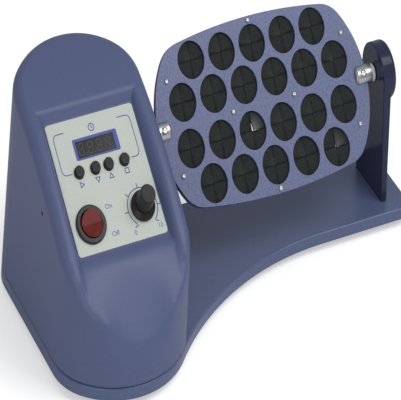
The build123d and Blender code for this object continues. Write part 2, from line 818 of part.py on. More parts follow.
coupling_start = wall_inner_x - bush_flange_thickness - part_gap
motor_face = coupling_start - coupling_length - part_gap - bracket_thickness
collar_bottom = platform_x - collar_slot_end
with BuildPart() as drive_shaft:
    with Locations(axis_plane(collar_bottom - part_gap / 2).location):
        Cylinder(
            shaft_diameter / 2,
            collar_bottom - part_gap / 2 - coupling_start + coupling_length / 2 - shaft_end_gap,
            align=CENTER_DOWN,
        )
drive_shaft.part.label = "drive_shaft"
export_step(drive_shaft.part, "parts/drive_shaft.step")

with BuildPart() as drive_coupling:
    with Locations(axis_plane(coupling_start).location):
        Cylinder(coupling_diameter / 2, coupling_length, align=CENTER_DOWN)
        Cylinder(shaft_diameter / 2, coupling_length / 2, align=CENTER_DOWN, mode=Mode.SUBTRACT)
    with Locations(axis_plane(coupling_start - coupling_length).location):
        Cylinder(motor_shaft_diameter / 2, coupling_length / 2, align=CENTER_UP, mode=Mode.SUBTRACT)
    for offset in (-coupling_length / 4, -3 * coupling_length / 4):
        with Locations(Plane(origin=(coupling_start + offset, axis_y, axis_z)).location):
            Cylinder(bracket_screw_diameter / 2, coupling_diameter, align=CENTER_UP, mode=Mode.SUBTRACT)
drive_coupling.part.label = "drive_coupling"
export_step(drive_coupling.part, "parts/drive_coupling.step")

with BuildPart() as motor_shaft:
    with Locations(axis_plane(coupling_start - coupling_length / 2 - shaft_end_gap).location):
        Cylinder(
            motor_shaft_diameter / 2,
            coupling_length / 2 + part_gap + bracket_thickness + motor_shaft_hold - shaft_end_gap,
            align=CENTER_DOWN,
        )
motor_shaft.part.label = "motor_shaft"
export_step(motor_shaft.part, "parts/motor_shaft.step")

with BuildPart() as gear_motor:
    with Locations(axis_plane(motor_face).location):
        Cylinder(gearbox_diameter / 2, gearbox_length, align=CENTER_DOWN)
        Cylinder(motor_shaft_diameter / 2 + running_clearance, 2 * motor_shaft_hold + 4, mode=Mode.SUBTRACT)
    with Locations(axis_plane(motor_face - gearbox_length).location):
        Cylinder(motor_diameter / 2, motor_length, align=CENTER_DOWN)
    with Locations(axis_plane(motor_face - gearbox_length - motor_length).location):
        Cylinder(motor_cap_diameter / 2, motor_cap_height, align=CENTER_DOWN)
gear_motor.part.label = "gear_motor"
export_step(gear_motor.part, "parts/gear_motor.step")

with BuildPart() as motor_bracket:
    with BuildSketch(axis_plane(motor_face)):
        Circle(bracket_round)
        with Locations((0, -axis_height / 2)):
            Rectangle(2 * bracket_round, axis_height)
        Circle(motor_shaft_diameter / 2 + part_gap, mode=Mode.SUBTRACT)
        with PolarLocations(motor_screw_circle / 2, 4, 45):
            Circle(bracket_screw_diameter / 2 + screw_clearance, mode=Mode.SUBTRACT)
    extrude(amount=bracket_thickness)
    with Locations((motor_face + bracket_thickness, axis_y, base_top)):
        Box(
            bracket_foot,
            2 * bracket_round,
            bracket_thickness,
            align=(Align.MAX, Align.CENTER, Align.MIN),
        )
    with Locations(*[(x, y, base_top + bracket_thickness) for x, y in bracket_screw_places]):
        Hole(bracket_screw_diameter / 2 + 2 * screw_clearance, bracket_thickness)
motor_bracket.part.label = "motor_bracket"
export_step(motor_bracket.part, "parts/motor_bracket.step")

with BuildPart() as bracket_screws:
    screws(
        [Plane(origin=(x, y, base_top + bracket_thickness)) for x, y in bracket_screw_places],
        bracket_screw_head_diameter,
        bracket_screw_head_height,
        bracket_screw_diameter,
        bracket_thickness + bracket_screw_grip,
    )
bracket_screws.part.label = "bracket_screws"
export_step(bracket_screws.part, "parts/bracket_screws.step")

# ---------------------------------------------------------------- upright
def upright_outline():
    """Side view of the upright: a tapered post that ends in a round head on the axis."""
    half_foot = upright_foot_width / 2
    with BuildSketch() as outline:
        Circle(upright_head_radius)
        with BuildLine():
            Polyline(
                (-half_foot, -axis_height),
                (half_foot, -axis_height),
                (upright_head_radius, 0),
                (-upright_head_radius, 0),
                (-half_foot, -axis_height),
            )
        make_face()
    return outline.sketch


with BuildPart() as upright_stand:
    with BuildSketch(axis_plane(upright_inner)):
        add(upright_outline())
    extrude(amount=upright_head_thickness + 4)
    with BuildSketch(Plane.XZ.offset(-axis_y)):
        with BuildLine():
            Polyline(
                (upright_inner, base_top),
                (upright_inner + upright_foot_thickness, base_top),
                (upright_inner + upright_head_thickness, axis_z),
                (upright_inner + upright_head_thickness, axis_z + upright_head_radius),
                (upright_inner, axis_z + upright_head_radius),
                (upright_inner, base_top),
            )
        make_face()
    extrude(amount=upright_foot_width, both=True, mode=Mode.INTERSECT)
    with Locations(axis_plane(upright_inner).location):
        Cylinder(upright_head_radius, head_boss_outer, align=CENTER_UP)
    boss_rim = upright_stand.edges().sort_by(Axis.X)[-1]
    fillet(boss_rim, radius=head_boss_round)
    inner_rim = upright_stand.faces().sort_by(Axis.X)[0].edges()
    fillet(inner_rim.filter_by(lambda edge: edge.center().Z > base_top + 1), upright_edge_radius)
    with Locations(axis_plane(upright_inner).location):
        Cylinder(bush_diameter / 2, idler_bush_length, align=CENTER_UP, mode=Mode.SUBTRACT)
    with Locations(*[(x, y, base_top) for x, y in upright_screw_places]):
        Cylinder(thread_bore_diameter / 2, upright_screw_grip + 2, align=CENTER_UP, mode=Mode.SUBTRACT)
upright_stand.part.label = "upright_stand"
export_step(upright_stand.part, "parts/upright_stand.step")

with BuildPart() as upright_screws:
    base_screws(upright_screw_places, base_thickness + upright_screw_grip)
upright_screws.part.label = "upright_screws"
export_step(upright_screws.part, "parts/upright_screws.step")

with BuildPart() as idler_bush:
    with Locations(axis_plane(upright_inner).location):
        Cylinder(bush_diameter / 2, idler_bush_length, align=CENTER_UP)
        Cylinder(shaft_diameter / 2 + running_clearance, 2 * idler_bush_length + 2, mode=Mode.SUBTRACT)
idler_bush.part.label = "idler_bush"
export_step(idler_bush.part, "parts/idler_bush.step")

idler_shaft_length = upright_inner + idler_bush_length - part_gap - (platform_x + collar_slot_end)
with BuildPart() as idler_shaft:
    with Locations(axis_plane(platform_x + collar_slot_end + part_gap / 2).location):
        Cylinder(shaft_diameter / 2, idler_shaft_length - part_gap / 2, align=CENTER_UP)
idler_shaft.part.label = "idler_shaft"
export_step(idler_shaft.part, "parts/idler_shaft.step")

for name, side in (("left", -1), ("right", 1)):
    with BuildPart() as washer:
        with Locations(axis_plane(platform_x + side * (collar_outer + washer_outer) / 2).location):
            Cylinder(washer_diameter / 2, washer_thickness)
            Cylinder(shaft_diameter / 2, 2 * washer_thickness, mode=Mode.SUBTRACT)
    washer.part.label = name + "_washer"
    export_step(washer.part, "parts/" + name + "_washer.step")

# ---------------------------------------------------------------- platform
plate_screw_places = [(0, end_screw_y), (0, -end_screw_y)]
plate_screw_places += [(hole_pitch, 0), (-hole_pitch, 0)]
plate_screw_places += [(x, y) for x in (-side_screw_x, side_screw_x) for y in (-side_screw_y, side_screw_y)]
collar_screw_places = [(-collar_screw_x, 0), (collar_screw_x, 0)]


def platform_outline(inset):
    """The platform outline as four arcs with rounded corners."""
    width = platform_half_width - inset
    height = platform_half_height - inset
    long_sag = platform_long_radius - (platform_long_radius**2 - platform_corner_x**2) ** 0.5
    rise = height - long_sag
    with BuildSketch() as outline:
        with BuildLine():
            ThreePointArc((-platform_corner_x, rise), (0, height), (platform_corner_x, rise))
            ThreePointArc((platform_corner_x, rise), (width, 0), (platform_corner_x, -rise))
            ThreePointArc((platform_corner_x, -rise), (0, -height), (-platform_corner_x, -rise))
            ThreePointArc((-platform_corner_x, -rise), (-width, 0), (-platform_corner_x, rise))
        make_face()
        fillet(outline.vertices(), radius=platform_corner_radius)
    return outline.sketch


def tube_holes(diameter):
    """Circles at every tube hole: two full rows inside and two shorter rows outside."""
    with GridLocations(hole_pitch, inner_row_spacing, 6, 2):
        Circle(diameter / 2, mode=Mode.SUBTRACT)
    with GridLocations(hole_pitch, outer_row_spacing, 5, 2):
        Circle(diameter / 2, mode=Mode.SUBTRACT)


def screw_holes():
    """Clearance holes for the plate screws and the two collar screws."""
    with Locations(*plate_screw_places):
        Circle(plate_screw_diameter / 2 + screw_clearance, mode=Mode.SUBTRACT)
    with Locations(*collar_screw_places):
        Circle(collar_screw_diameter / 2 + screw_clearance, mode=Mode.SUBTRACT)


for name, offset in (("front_plate", sheet_face), ("back_plate", -platform_face)):
    with BuildPart() as plate:
        with BuildSketch(platform_plane.offset(offset)):
            add(platform_outline(0))
            tube_holes(hole_diameter)
            screw_holes()
        extrude(amount=plate_thickness)
    plate.part.label = name
    export_step(plate.part, "parts/" + name + ".step")

with BuildPart() as rubber_sheet:
    with BuildSketch(platform_plane.offset(-sheet_face)):
        add(platform_outline(rubber_inset))
        for spacing, count in ((inner_row_spacing, 6), (outer_row_spacing, 5)):
            with GridLocations(hole_pitch, spacing, count, 2):
                Rectangle(slit_length, slit_width, mode=Mode.SUBTRACT)
                Rectangle(slit_width, slit_length, mode=Mode.SUBTRACT)
        screw_holes()
    extrude(amount=rubber_thickness)
rubber_sheet.part.label = "rubber_sheet"
export_step(rubber_sheet.part, "parts/rubber_sheet.step")

with BuildPart() as platform_screws:
    screws(
        [Plane(platform_plane.location * Location((x, y, platform_face))) for x, y in plate_screw_places],
        plate_screw_head_diameter,
        plate_screw_head_height,
        plate_screw_diameter,
        platform_thickness + plate_nut_height + 2 * screw_clearance,
    )
platform_screws.part.label = "platform_screws"
export_step(platform_screws.part, "parts/platform_screws.step")

with BuildPart() as platform_nuts:
    with BuildSketch(platform_plane.offset(-platform_face)):
        with Locations(*plate_screw_places):
            RegularPolygon(plate_nut_radius, 6)
            Circle(plate_screw_diameter / 2, mode=Mode.SUBTRACT)
    extrude(amount=-plate_nut_height)
platform_nuts.part.label = "platform_nuts"
export_step(platform_nuts.part, "parts/platform_nuts.step")

for name, side in (("left", -1), ("right", 1)):
    nose_plane = axis_plane(platform_x + side * collar_nose)
    middle_plane = axis_plane(platform_x + side * (collar_nose + collar_length / 2))
    with BuildPart() as collar:
        with Locations(middle_plane.location):
            Cylinder(collar_diameter / 2, collar_length)
        inner_rim = collar.edges().filter_by(GeomType.CIRCLE).sort_by(Axis.X)[0 if side > 0 else -1]
        chamfer(inner_rim, length=collar_chamfer)
        with BuildSketch(platform_plane):
            with Locations((side * (collar_nose + collar_slot_end) / 2, 0)):
                Rectangle(collar_slot_end - collar_nose, collar_diameter + 1)
        extrude(amount=platform_face + collar_slot_gap, both=True, mode=Mode.SUBTRACT)
        with Locations(axis_plane(platform_x + side * (collar_nose + collar_length)).location):
            Cylinder(
                shaft_diameter / 2,
                2 * (collar_length + collar_nose - collar_slot_end - part_gap / 2),
                mode=Mode.SUBTRACT,
            )
        with Locations(platform_plane.location * Location((side * collar_screw_x, 0, 0))):
            Cylinder(collar_screw_diameter / 2 + screw_clearance / 2, collar_diameter, mode=Mode.SUBTRACT)
            with Locations((0, 0, collar_flat)):
                Cylinder(
                    collar_screw_head_diameter / 2 + screw_clearance,
                    collar_diameter,
                    align=CENTER_UP,
                    mode=Mode.SUBTRACT,
                )
    collar.part.label = name + "_collar"
    export_step(collar.part, "parts/" + name + "_collar.step")

with BuildPart() as collar_screws:
    screws(
        [Plane(platform_plane.location * Location((x, y, collar_flat))) for x, y in collar_screw_places],
        collar_screw_head_diameter,
        collar_screw_head_height,
        collar_screw_diameter,
        2 * collar_flat - 1,
    )
collar_screws.part.label = "collar_screws"
export_step(collar_screws.part, "parts/collar_screws.step")
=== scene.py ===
import json
import math

import bmesh
import bpy
from mathutils import Matrix, Vector
from mathutils.kdtree import KDTree


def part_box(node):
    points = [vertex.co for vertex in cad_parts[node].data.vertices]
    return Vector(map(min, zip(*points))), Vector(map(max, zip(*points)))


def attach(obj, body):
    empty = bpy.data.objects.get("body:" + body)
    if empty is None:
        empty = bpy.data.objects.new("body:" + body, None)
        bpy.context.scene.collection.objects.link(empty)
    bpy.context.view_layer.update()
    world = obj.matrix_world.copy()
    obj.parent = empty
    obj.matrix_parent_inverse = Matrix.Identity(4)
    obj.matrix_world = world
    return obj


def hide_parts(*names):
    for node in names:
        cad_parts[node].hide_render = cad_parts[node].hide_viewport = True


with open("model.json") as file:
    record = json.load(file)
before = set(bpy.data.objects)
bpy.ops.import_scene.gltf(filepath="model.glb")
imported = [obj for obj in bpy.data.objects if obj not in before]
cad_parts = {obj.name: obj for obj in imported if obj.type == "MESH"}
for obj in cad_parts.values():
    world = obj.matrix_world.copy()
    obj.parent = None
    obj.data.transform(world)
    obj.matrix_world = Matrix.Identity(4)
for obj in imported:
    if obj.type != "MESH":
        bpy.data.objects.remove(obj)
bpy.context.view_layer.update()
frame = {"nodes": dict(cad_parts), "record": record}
scene = bpy.context.scene
nodes = frame["nodes"]
joints = {joint["name"]: joint for joint in frame["record"]["behaviour"]["joints"]}
mm = 0.001

# ---------------------------------------------------------------- camera
# A long lens from the front left, looking down on the sloped panel. The camera's frame leans: its own up
# axis tips back along the line of sight, so that all it sees comes out lower than with an upright frame.
camera_place = Vector((-1.612, -2.860, 2.116))
view_yaw = math.radians(29.01)
view_pitch = math.radians(32.13)
view_roll = math.radians(4.16)
frame_lean = math.radians(43.68)
lens_length = 406.5

camera = bpy.data.objects.new("camera", bpy.data.cameras.new("camera"))
camera.data.lens = lens_length
camera.data.clip_start = 0.1
camera.data.clip_end = 50
ahead = Vector((math.sin(view_yaw) * math.cos(view_pitch),
                math.cos(view_yaw) * math.cos(view_pitch),
                -math.sin(view_pitch)))
level = Vector((math.cos(view_yaw), -math.sin(view_yaw), 0))
upward = level.cross(ahead)
side = math.cos(view_roll) * level + math.sin(view_roll) * upward
top = math.cos(view_roll) * upward - math.sin(view_roll) * level
leaning_top = math.cos(frame_lean) * top - math.sin(frame_lean) * ahead
camera_stand = bpy.data.objects.new("camera_stand", None)
camera.parent = camera_stand
axes = Matrix((side, leaning_top, -ahead)).transposed().to_4x4()
camera.matrix_parent_inverse = Matrix.Translation(camera_place) @ axes
for item in (camera_stand, camera):
    scene.collection.objects.link(item)
scene.camera = camera

# ---------------------------------------------------------------- studio
# White paper on a table, one large soft box above and to the right, which the apron mirrors, and a weaker
# one at the front left. The paper glows a little to the eye alone, so that it stays white.
room_light = 0.42
paper_glow = 0.42
paper_size = 12
lamp_aim = Vector((0, 0, 0.06))
soft_boxes = {
    "upper_box": ((0.62, -0.72, 1.50), 1.0, 12.0),
    "front_box": ((-1.20, -1.40, 1.0), 0.9, 6.0),
}

scene.view_settings.view_transform = "Standard"
scene.world = bpy.data.worlds.new("studio")
scene.world.use_nodes = True
room = scene.world.node_tree.nodes["Background"]
room.inputs["Color"].default_value = (1.0, 1.0, 1.0, 1)
room.inputs["Strength"].default_value = room_light

for name, (place, width, power) in soft_boxes.items():
    lamp = bpy.data.objects.new(name, bpy.data.lights.new(name, "AREA"))
    lamp.data.size = width
    lamp.data.energy = power
    aim = (lamp_aim - Vector(place)).to_track_quat("-Z", "Y")
    lamp.matrix_world = Matrix.Translation(place) @ aim.to_matrix().to_4x4()
    scene.collection.objects.link(lamp)

paper = bpy.data.materials.new("white_paper")
paper.use_nodes = True
paper_shader = paper.node_tree.nodes["Principled BSDF"]
paper_shader.inputs["Base Color"].default_value = (0.93, 0.93, 0.93, 1)
paper_shader.inputs["Roughness"].default_value = 0.9
paper_shader.inputs["Emission Color"].default_value = (1, 1, 1, 1)
seen = paper.node_tree.nodes.new("ShaderNodeLightPath")
either = paper.node_tree.nodes.new("ShaderNodeMath")
either.operation = "MAXIMUM"
glow = paper.node_tree.nodes.new("ShaderNodeMath")
glow.operation = "MULTIPLY"
glow.inputs[1].default_value = paper_glow
paper.node_tree.links.new(seen.outputs["Is Camera Ray"], either.inputs[0])
paper.node_tree.links.new(seen.outputs["Is Transmission Ray"], either.inputs[1])
paper.node_tree.links.new(either.outputs["Value"], glow.inputs[0])
paper.node_tree.links.new(glow.outputs["Value"], paper_shader.inputs["Emission Strength"])
bpy.ops.mesh.primitive_plane_add(size=paper_size)
floor = bpy.context.object
floor.name = "floor"
floor.data.materials.append(paper)

# ---------------------------------------------------------------- base plate and its feet
# An 8 mm plate cut in one piece with a sweep along its front, its top edge rounded over and sprayed with
# satin blue-grey enamel. Six rubber feet push into it, and countersunk steel screws come up through it.
gloss_swing = 0.15
bump_strength = 0.6


def grained(name, dark, light, grain, roughness, relief, metallic=0.0, stretch=(1, 1, 1), contrast=0.15):
    """A finish whose colour, gloss and height all follow one fine noise of the given grain in metres."""
    finish = bpy.data.materials.new(name)
    finish.use_nodes = True
    tree = finish.node_tree
    shader = tree.nodes["Principled BSDF"]
    place = tree.nodes.new("ShaderNodeTexCoord")
    scaling = tree.nodes.new("ShaderNodeMapping")
    scaling.inputs["Scale"].default_value = stretch
    noise = tree.nodes.new("ShaderNodeTexNoise")
    noise.inputs["Scale"].default_value = 1 / grain
    noise.inputs["Detail"].default_value = 3.0
    shades = tree.nodes.new("ShaderNodeValToRGB")
    shades.color_ramp.elements[0].position = 0.5 - contrast
    shades.color_ramp.elements[1].position = 0.5 + contrast
    shades.color_ramp.elements[0].color = (*dark, 1)
    shades.color_ramp.elements[1].color = (*light, 1)
    gloss = tree.nodes.new("ShaderNodeMapRange")
    gloss.inputs["To Min"].default_value = roughness * (1 - gloss_swing)
    gloss.inputs["To Max"].default_value = roughness * (1 + gloss_swing)
    bumps = tree.nodes.new("ShaderNodeBump")
    bumps.inputs["Strength"].default_value = bump_strength
    bumps.inputs["Distance"].default_value = relief
    join = tree.links.new
    join(place.outputs["Object"], scaling.inputs["Vector"])
    join(scaling.outputs["Vector"], noise.inputs["Vector"])
    join(noise.outputs["Fac"], shades.inputs["Fac"])
    join(noise.outputs["Fac"], gloss.inputs["Value"])
    join(noise.outputs["Fac"], bumps.inputs["Height"])
    join(shades.outputs["Color"], shader.inputs["Base Color"])
    join(gloss.outputs["Result"], shader.inputs["Roughness"])
    join(bumps.outputs["Normal"], shader.inputs["Normal"])
    shader.inputs["Metallic"].default_value = metallic
    return finish


def tune(finish, **settings):
    """Sets further inputs of a finish's shader, which are named with _ for each space."""
    for title, value in settings.items():
        finish.node_tree.nodes["Principled BSDF"].inputs[title.replace("_", " ")].default_value = value


def dress(finish, *names):
    """Gives a CAD node its finish in every material slot."""
    for name in names:
        for slot in nodes[name].material_slots:
            slot.material = finish


base_enamel = grained("base_enamel", (0.080, 0.109, 0.220), (0.096, 0.128, 0.252), 0.0011, 0.36, 0.00004)
tune(base_enamel, Coat_Weight=0.15, Coat_Roughness=0.3)
dress(base_enamel, "base_plate")
foot_rubber = grained("foot_rubber", (0.012, 0.012, 0.012), (0.022, 0.022, 0.022), 0.0008, 0.75, 0.00005)
dress(foot_rubber, "rubber_feet")
zinc_steel = grained(
    "zinc_steel", (0.48, 0.48, 0.47), (0.66, 0.66, 0.64), 0.0006, 0.28, 0.00001, metallic=1.0,
)
dress(zinc_steel, "housing_screws", "upright_screws", "bracket_screws", "pot_nut", "potentiometer")
dress(zinc_steel, "rocker_pin", "platform_nuts")

# ---------------------------------------------------------------- upright
# The far bearing stand is milled from the same enamelled stock, but its broad inner face is polished
# out to a deep gloss, so it mirrors the collar beside it. Its colour is painted far darker than the
# base's, as painted shade for a stand that sits in the shade of the platform and the housing. A sintered
# bronze bush carries the shaft.
# Both shades of this enamel are painted shade, far darker than the base's enamel.
upright_enamel_painted_shade = grained(
    "upright_enamel_painted_shade", (0.024, 0.029, 0.064), (0.030, 0.036, 0.075), 0.0030, 0.12, 0.00001,
)
tune(upright_enamel_painted_shade, Specular_IOR_Level=0.2)
dress(upright_enamel_painted_shade, "upright_stand")
sintered_bronze = grained(
    "sintered_bronze", (0.33, 0.22, 0.09), (0.50, 0.36, 0.17), 0.0004, 0.4, 0.00002, metallic=1.0,
)
dress(sintered_bronze, "idler_bush", "drive_bush")

# ---------------------------------------------------------------- control housing
# One blue moulding with softly rolled rims, a scoop for the panel and a long apron that runs down to the
# base. The mould's fine spark texture keeps its gloss to a broad satin sheen.
moulded_blue = grained("moulded_blue", (0.081, 0.104, 0.226), (0.095, 0.121, 0.252), 0.0007, 0.46, 0.00003)

# The moulding's nose is worked over from the plain shell: the apron's lower end is pressed in as a broad
# tongue with a round end, and its edge is melted into the nose, inside and out, so the wall stays even.
housing_low, housing_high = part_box("control_housing")
housing_middle = (housing_low.x + housing_high.x) / 2
tongue_start = Vector((housing_middle, -0.0700, 0.0710))
tongue_slope = math.radians(50.5)
tongue_side = 0.040
tongue_rise = 0.019
wall = 0.003
nose_rear = -0.049
nose_foot = 0.024
nose_core = Vector((housing_middle, -0.050, 0.040))
rear_fade = 0.024
foot_fade = 0.018
nose_cell = 0.0024
cells_over_start = 0.02
guide_cell = 0.3
guide_neighbours = 6
melt_share = 0.5
melt_rounds = 30
polish_rounds = 10
crease_angle = math.radians(32)
tongue_out = Vector((0, -math.sin(tongue_slope), math.cos(tongue_slope)))


def bare_form(node, place=Matrix()):
    """The welded shape of a CAD node, seen from the given place, without its normals and slots."""
    shell = nodes[node].data
    plain = bpy.data.meshes.new(node + "_plain")
    points = [tuple(vertex.co) for vertex in shell.vertices]
    plain.from_pydata(points, [], [tuple(face.vertices) for face in shell.polygons])
    plain.transform(place.inverted())
    form = bmesh.new()
    form.from_mesh(plain)
    bmesh.ops.remove_doubles(form, verts=form.verts[:], dist=1e-6)
    return form


def in_nose(place):
    """True in the part of the moulding that is worked over."""
    return place.y < nose_rear and place.z > nose_foot


moulding = bare_form("control_housing")
cutting_planes = []
cell_runs = ((0, housing_low.x, housing_high.x), (2, nose_foot, tongue_start.z + cells_over_start))
for axis, low, high in cell_runs:
    for step in range(1, int((high - low) / nose_cell)):
        place = Vector()
        place[axis] = low + step * nose_cell
        facing = Vector()
        facing[axis] = 1
        cutting_planes.append((place, facing))
nose_faces = [face for face in moulding.faces if any(in_nose(vertex.co) for vertex in face.verts)]
nose = list({item for face in nose_faces for item in (face, *face.edges, *face.verts)})
for place, facing in cutting_planes:
    nose = bmesh.ops.bisect_plane(moulding, geom=nose, plane_co=place, plane_no=facing)["geom"]
bmesh.ops.triangulate(moulding, faces=moulding.faces[:])


def nose_hold(place):
    """How far a point of the nose follows the reworking, from 0 at its borders to 1."""
    reach = max(0.0, min((nose_rear - place.y) / rear_fade, (place.z - nose_foot) / foot_fade, 1.0))
    return reach * reach * (3 - 2 * reach)


def melt(form, rounds):
    """Draws every point of the nose towards the middle of its neighbours, again and again."""
    around = {}
    for vertex in form.verts:
        if in_nose(vertex.co):
            others = [edge.other_vert(vertex) for edge in vertex.link_edges]
            around[vertex] = (melt_share * nose_hold(vertex.co), others)
    for step in range(rounds):
        means = {}
        for vertex, (share, others) in around.items():
            means[vertex] = sum((other.co for other in others), Vector()) / max(1, len(others))
        for vertex, (share, others) in around.items():
            vertex.co += share * (means[vertex] - vertex.co)


# A coarser copy with even cells is carved and melted, and the moulding follows the way that it moves.
guide = moulding.copy()
crowded = [vertex for vertex in guide.verts if in_nose(vertex.co)]
bmesh.ops.remove_doubles(guide, verts=crowded, dist=nose_cell * guide_cell)
guide.normal_update()
guide_points = [vertex for vertex in guide.verts if in_nose(vertex.co)]
guide_starts = [vertex.co.copy() for vertex in guide_points]
for vertex in guide_points:
    inside = wall if vertex.normal.dot(vertex.co - nose_core) < 0 else 0.0
    sideways = vertex.co.x - housing_middle
    rise = tongue_rise * (sideways / tongue_side) ** 4
    above = (vertex.co - tongue_start).dot(tongue_out) - rise + inside
    if above > 0:
        vertex.co -= above * nose_hold(vertex.co) * tongue_out
melt(guide, melt_rounds)
lookup = KDTree(len(guide_points))
for index, start in enumerate(guide_starts):
    lookup.insert(start, index)
lookup.balance()
moves = [vertex.co - start for vertex, start in zip(guide_points, guide_starts)]
for vertex in moulding.verts:
    if in_nose(vertex.co):
        nearest = lookup.find_n(vertex.co, guide_neighbours)
        shares = [1 / (distance**2 + (guide_cell * nose_cell) ** 2) for place, index, distance in nearest]
        total = sum(shares)
        shift = Vector()
        for share, (place, index, distance) in zip(shares, nearest):
            shift += share / total * moves[index]
        vertex.co += shift
melt(moulding, polish_rounds)
guide.free()
for face in moulding.faces:
    face.smooth = True
moulded_shell = bpy.data.meshes.new("moulded_housing")
moulding.to_mesh(moulded_shell)
moulding.free()
moulded_shell.set_sharp_from_angle(angle=crease_angle)
moulded_shell.materials.append(moulded_blue)
moulded_housing = bpy.data.objects.new("moulded_housing", moulded_shell)
scene.collection.objects.link(moulded_housing)
even = moulded_housing.modifiers.new("even", "WEIGHTED_NORMAL")
even.keep_sharp = True
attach(moulded_housing, "stand")
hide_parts("control_housing")
black_steel = grained("black_steel", (0.004, 0.004, 0.005), (0.009, 0.009, 0.010), 0.0005, 0.45, 0.00001)
tune(black_steel, Specular_IOR_Level=0.05)
dress(black_steel, "housing_side_screw")

# ---------------------------------------------------------------- control panel and its printing
# A thin pale grey-green polycarbonate overlay, lightly pebbled, with its marks screen printed in blue:
# a frame round the window, two thin brackets that tie the timer's keys together, and the speed dial.
knob_from_corner = Vector((65.5, 71.5)) * mm
panel_thickness = 0.8 * mm
print_height = 0.05 * mm
print_line = 0.7
bracket_corner = 4.0
frame_outer = (20.3, 14.4, 61.3, 29.5)
frame_inner = (22.6, 16.35, 57.8, 28.25)
frame_corner = 1.4
frame_inner_corner = 0.2
left_bracket = (4.6, 8.0, 37.0, 15.0, 13.0)
right_bracket = (76.4, 7.5, 37.0, 65.0, 68.0)
mark_row = 45.2
key_marks = {
    19.2: ((-1.4, -1.3), (1.9, 0.6), (-1.4, 2.5)),
    34.2: ((-1.9, -1.5), (1.9, -1.5), (0, 1.9)),
    46.5: ((-1.9, 1.5), (1.9, 1.5), (0, -1.9)),
    61.2: ((-1.7, -2.1), (1.7, -2.1), (1.7, 1.3), (-1.7, 1.3)),
}
timer_mark = (40.5, 9.0)
timer_mark_radius = 2.6
timer_hands = ((0, -1.7), (0, 0), (1.3, 0.6))

panel_right = Vector((1, 0, 0))
panel_out = Vector(joints["speed_knob_turn"]["axis"]).normalized()
panel_up = panel_out.cross(panel_right)
knob_foot = Vector(joints["speed_knob_turn"]["pos_m"])
panel_corner = knob_foot - knob_from_corner.x * panel_right + knob_from_corner.y * panel_up
panel_face = Matrix((panel_right, panel_up, panel_out)).transposed().to_4x4()
panel_face = Matrix.Translation(panel_corner + panel_thickness * panel_out) @ panel_face
print_place = panel_face @ Matrix.Diagonal((mm, -mm, mm, 1))


def arc(centre, radius, start, end, steps=10):
    """Points along an arc, with angles in degrees measured clockwise from the right."""
    return [
        Vector((
            centre[0] + radius * math.cos(math.radians(start + (end - start) * step / steps)),
            centre[1] + radius * math.sin(math.radians(start + (end - start) * step / steps)),
        ))
        for step in range(steps + 1)
    ]


def print_stroke(form, points, width, closed=False):
    """Lays a flat inked stroke of even width along a run of points on the overlay."""
    count = len(points)
    rails = []
    for index, point in enumerate(points):
        before = points[index - 1] if closed or index else point
        after = points[(index + 1) % count] if closed or index < count - 1 else point
        first = (point - before).normalized() if point != before else (after - point).normalized()
        second = (after - point).normalized() if after != point else first
        across = Vector((-(first + second).y, (first + second).x)).normalized()
        reach = width / 2 / max(0.4, abs(across.dot(Vector((-first.y, first.x)))))
        rails.append([form.verts.new((*(point + side * reach * across), 0)) for side in (-1, 1)])
    for index in range(count if closed else count - 1):
        here, there = rails[index], rails[(index + 1) % count]
        form.faces.new((here[0], there[0], there[1], here[1]))


def rounded_box(left, high, right, low, corner):
    """Corner points of a rounded rectangle, clockwise from its top left."""
    points = arc((left + corner, high + corner), corner, 180, 270, 5)
    points += arc((right - corner, high + corner), corner, 270, 360, 5)
    points += arc((right - corner, low - corner), corner, 0, 90, 5)
    points += arc((left + corner, low - corner), corner, 90, 180, 5)
    return points


def bracket(edge, high, low, top_end, low_end, turn):
    """Thin line down the panel's side with a rounded corner above and below."""
    centre = edge + turn * bracket_corner
    start = 270 if turn > 0 else -90
    upper = arc((centre, high + bracket_corner), bracket_corner, start, 180 if turn > 0 else 0)
    lower = arc((centre, low - bracket_corner), bracket_corner, 180 if turn > 0 else 0, 90)
    return [Vector((top_end, high))] + upper + lower + [Vector((low_end, low))]


def ink(name, form, finish, height=print_height):
    """Gives flat printed shapes their thin body, sets them on the overlay and finishes them."""
    solid = bmesh.ops.extrude_face_region(form, geom=form.faces[:])
    lifted = [item for item in solid["geom"] if isinstance(item, bmesh.types.BMVert)]
    bmesh.ops.translate(form, verts=lifted, vec=(0, 0, height / mm))
    form.transform(print_place)
    bmesh.ops.recalc_face_normals(form, faces=form.faces[:])
    mesh = bpy.data.meshes.new(name)
    form.to_mesh(mesh)
    form.free()
    mesh.materials.append(finish)
    piece = bpy.data.objects.new(name, mesh)
    scene.collection.objects.link(piece)
    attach(piece, "stand")
    return piece


panel_overlay = grained("panel_overlay", (0.55, 0.60, 0.55), (0.60, 0.645, 0.595), 0.0009, 0.42, 0.00002)
blue_ink = grained("blue_ink", (0.050, 0.078, 0.34), (0.065, 0.098, 0.40), 0.0006, 0.4, 0.000005)
dress(panel_overlay, "control_panel")

lines = bmesh.new()
print_stroke(lines, bracket(*left_bracket, 1), print_line)
print_stroke(lines, bracket(*right_bracket, -1), print_line)
outer_ring = [lines.verts.new((*point, 0)) for point in rounded_box(*frame_outer, frame_corner)]
inner_ring = [lines.verts.new((*point, 0)) for point in rounded_box(*frame_inner, frame_inner_corner)]
for index in range(len(outer_ring)):
    after = (index + 1) % len(outer_ring)
    lines.faces.new((outer_ring[index], outer_ring[after], inner_ring[after], inner_ring[index]))

# The keys are marked with a play triangle, arrows down and up, and a stop square, and the timer with a
# small clock face.
for across, outline in key_marks.items():
    mark = [Vector((across, mark_row)) + Vector(corner) for corner in outline]
    print_stroke(lines, mark, print_line, closed=True)
print_stroke(lines, arc(timer_mark, timer_mark_radius, 0, 350, 24), print_line, closed=True)
print_stroke(lines, [Vector(timer_mark) + Vector(end) for end in timer_hands], print_line)
ink("panel_lines", lines, blue_ink)

